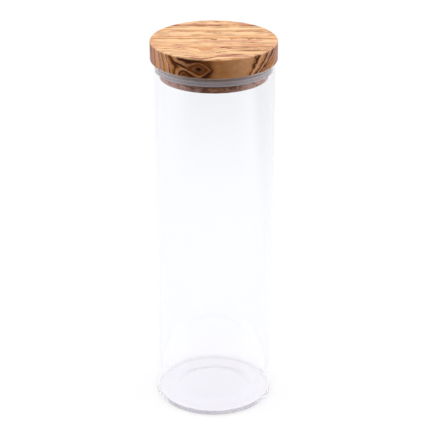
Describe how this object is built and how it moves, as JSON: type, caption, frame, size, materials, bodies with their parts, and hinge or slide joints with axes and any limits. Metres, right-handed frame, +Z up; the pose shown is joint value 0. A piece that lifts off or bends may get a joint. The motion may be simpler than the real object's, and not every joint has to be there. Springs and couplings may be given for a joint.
{
  "type": "lidded storage canister",
  "caption": "Tall straight clear glass storage canister with a round push-in wooden lid sealed by a two-lipped silicone ring.",
  "frame": {"origin": "on the jar's axis, on the surface that the jar stands on", "axes": "+Z up along the jar's axis, from its floor to its lid; the seal and the glass are the same all round, and the wood's grain runs along X"},
  "size_m": [0.103, 0.103, 0.3213],
  "materials": {
    "clear_glass": "clear, fire-polished",
    "olive_wood": "oiled, satin",
    "silicone": "translucent, satin"
  },
  "bodies": {
    "jar": {"glass_jar": "clear_glass"},
    "seal": {"silicone_seal": "silicone"},
    "lid": {"wooden_lid": "olive_wood"}
  },
  "joints": [
    {"name": "lid_lift", "type": "slide", "parent": "jar", "child": "seal", "axis": [0, 0, 1], "range_m": [0, 0.12]},
    {"name": "lid_turn", "type": "hinge", "parent": "seal", "child": "lid", "pos_m": [0, 0, 0.2997], "axis": [0, 0, 1], "continuous": true}
  ]
}
